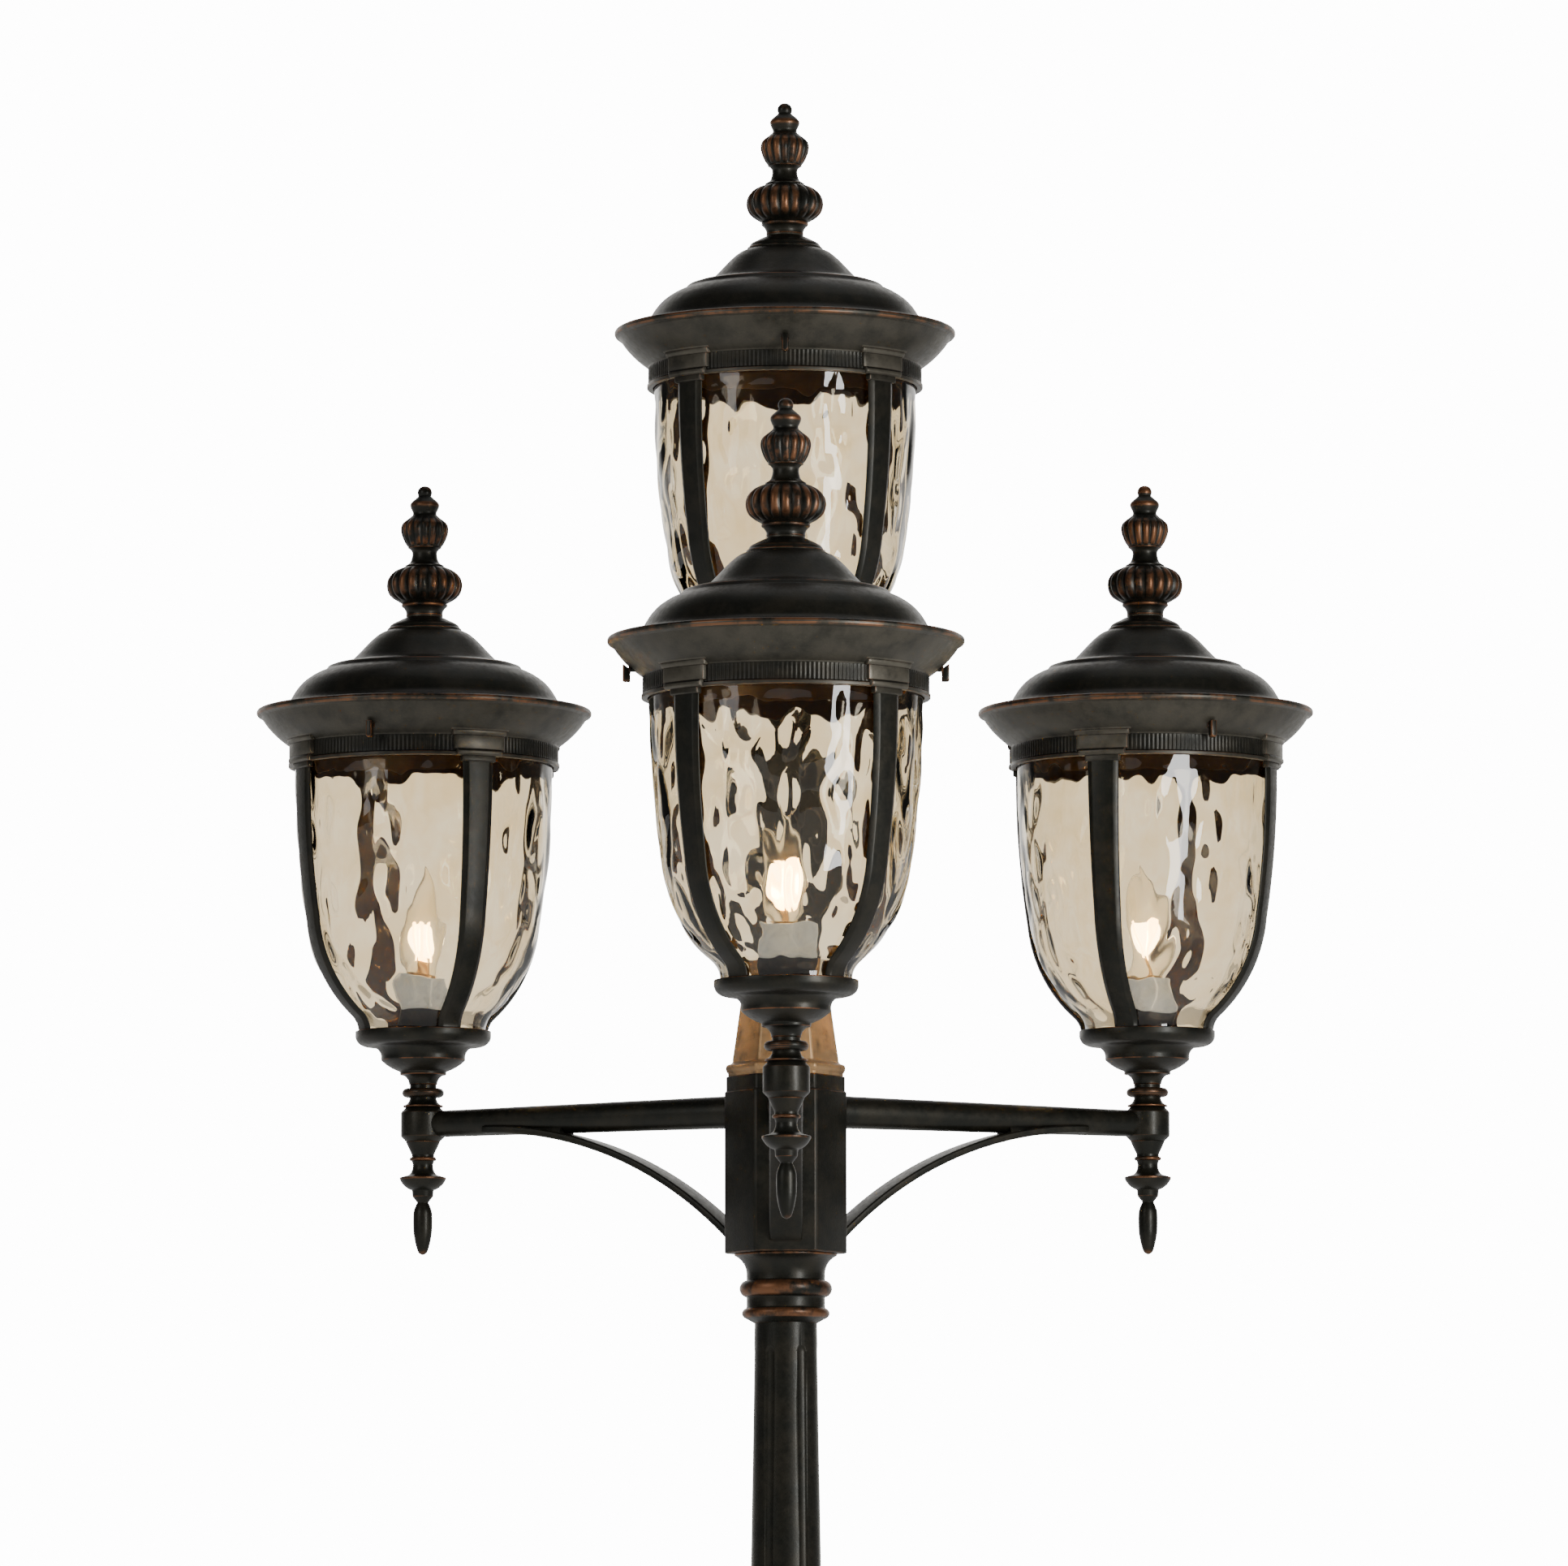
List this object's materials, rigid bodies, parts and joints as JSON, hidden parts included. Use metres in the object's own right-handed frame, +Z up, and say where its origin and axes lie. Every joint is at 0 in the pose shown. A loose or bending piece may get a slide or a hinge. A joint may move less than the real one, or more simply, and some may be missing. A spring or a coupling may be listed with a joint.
{
  "type": "lamp post",
  "caption": "Outdoor lamp post with glass lanterns on arms round a hexagonal hub and one raised lantern on a tapering riser, on a fluted post and a moulded bolt-down base.",
  "frame": {"origin": "centre of the base's underside, on the post's axis", "axes": "+Z up along the post, -Y towards the front arm"},
  "size_m": [0.7964, 0.7236, 2.538],
  "materials": {
    "bronze": "satin dark bronze coating, rubbed to copper on rings and edges",
    "amber_glass": "hammered champagne glass",
    "clear_glass": "clear",
    "porcelain": "glazed grey-blue white",
    "cap_metal": "rolled brass thread",
    "plated_steel": "zinc plated"
  },
  "bodies": {
    "lamp_post": {"base": "bronze", "post": "bronze", "neck_collar": "bronze", "hub": "bronze", "riser": "bronze", "nipples": "plated_steel", "front_arm": "bronze", "front_pendant": "bronze", "right_arm": "bronze", "right_pendant": "bronze", "left_arm": "bronze", "left_pendant": "bronze", "top_stem": "bronze", "top_cup": "bronze", "top_glass": "amber_glass", "top_cage": "bronze", "top_husk": "bronze", "top_socket": "porcelain", "front_stem": "bronze", "front_cup": "bronze", "front_glass": "amber_glass", "front_cage": "bronze", "front_husk": "bronze", "front_socket": "porcelain", "right_stem": "bronze", "right_cup": "bronze", "right_glass": "amber_glass", "right_cage": "bronze", "right_husk": "bronze", "right_socket": "porcelain", "left_stem": "bronze", "left_cup": "bronze", "left_glass": "amber_glass", "left_cage": "bronze", "left_husk": "bronze", "left_socket": "porcelain"},
    "top_roof_set": {"top_roof": "bronze", "top_finial": "bronze"},
    "top_screw_a": {"top_thumbscrew_a": "bronze"},
    "top_screw_b": {"top_thumbscrew_b": "bronze"},
    "top_bulb_set": {"top_bulb_cap": "cap_metal", "top_bulb": "clear_glass"},
    "front_roof_set": {"front_roof": "bronze", "front_finial": "bronze"},
    "front_screw_a": {"front_thumbscrew_a": "bronze"},
    "front_screw_b": {"front_thumbscrew_b": "bronze"},
    "front_bulb_set": {"front_bulb_cap": "cap_metal", "front_bulb": "clear_glass"},
    "right_roof_set": {"right_roof": "bronze", "right_finial": "bronze"},
    "right_screw_a": {"right_thumbscrew_a": "bronze"},
    "right_screw_b": {"right_thumbscrew_b": "bronze"},
    "right_bulb_set": {"right_bulb_cap": "cap_metal", "right_bulb": "clear_glass"},
    "left_roof_set": {"left_roof": "bronze", "left_finial": "bronze"},
    "left_screw_a": {"left_thumbscrew_a": "bronze"},
    "left_screw_b": {"left_thumbscrew_b": "bronze"},
    "left_bulb_set": {"left_bulb_cap": "cap_metal", "left_bulb": "clear_glass"}
  },
  "joints": [
    {"name": "top_roof_lift", "type": "slide", "parent": "lamp_post", "child": "top_roof_set", "axis": [0, 0, 1], "range_m": [0, 0.12]},
    {"name": "top_screw_a_out", "type": "slide", "parent": "lamp_post", "child": "top_screw_a", "axis": [0, 1, 0], "range_m": [0, 0.004]},
    {"name": "top_screw_b_out", "type": "slide", "parent": "lamp_post", "child": "top_screw_b", "axis": [0, -1, 0], "range_m": [0, 0.004]},
    {"name": "top_bulb_turn", "type": "hinge", "parent": "lamp_post", "child": "top_bulb_set", "pos_m": [0, 0, 2.153], "axis": [0, 0, 1], "continuous": true},
    {"name": "front_roof_lift", "type": "slide", "parent": "lamp_post", "child": "front_roof_set", "axis": [0, 0, 1], "range_m": [0, 0.12]},
    {"name": "front_screw_a_out", "type": "slide", "parent": "lamp_post", "child": "front_screw_a", "axis": [-1, 0, 0], "range_m": [0, 0.004]},
    {"name": "front_screw_b_out", "type": "slide", "parent": "lamp_post", "child": "front_screw_b", "axis": [1, 0, 0], "range_m": [0, 0.004]},
    {"name": "front_bulb_turn", "type": "hinge", "parent": "lamp_post", "child": "front_bulb_set", "pos_m": [0, -0.314, 1.8875], "axis": [0, 0, 1], "continuous": true},
    {"name": "right_roof_lift", "type": "slide", "parent": "lamp_post", "child": "right_roof_set", "axis": [0, 0, 1], "range_m": [0, 0.12]},
    {"name": "right_screw_a_out", "type": "slide", "parent": "lamp_post", "child": "right_screw_a", "axis": [-0.4067, 0.9135, 0], "range_m": [0, 0.004]},
    {"name": "right_screw_b_out", "type": "slide", "parent": "lamp_post", "child": "right_screw_b", "axis": [0.4067, -0.9135, 0], "range_m": [0, 0.004]},
    {"name": "right_bulb_turn", "type": "hinge", "parent": "lamp_post", "child": "right_bulb_set", "pos_m": [0.27193, 0.157, 1.8875], "axis": [0, 0, 1], "continuous": true},
    {"name": "left_roof_lift", "type": "slide", "parent": "lamp_post", "child": "left_roof_set", "axis": [0, 0, 1], "range_m": [0, 0.12]},
    {"name": "left_screw_a_out", "type": "slide", "parent": "lamp_post", "child": "left_screw_a", "axis": [0.3256, 0.9455, 0], "range_m": [0, 0.004]},
    {"name": "left_screw_b_out", "type": "slide", "parent": "lamp_post", "child": "left_screw_b", "axis": [-0.3256, -0.9455, 0], "range_m": [0, 0.004]},
    {"name": "left_bulb_turn", "type": "hinge", "parent": "lamp_post", "child": "left_bulb_set", "pos_m": [-0.27193, 0.157, 1.8875], "axis": [0, 0, 1], "continuous": true}
  ]
}
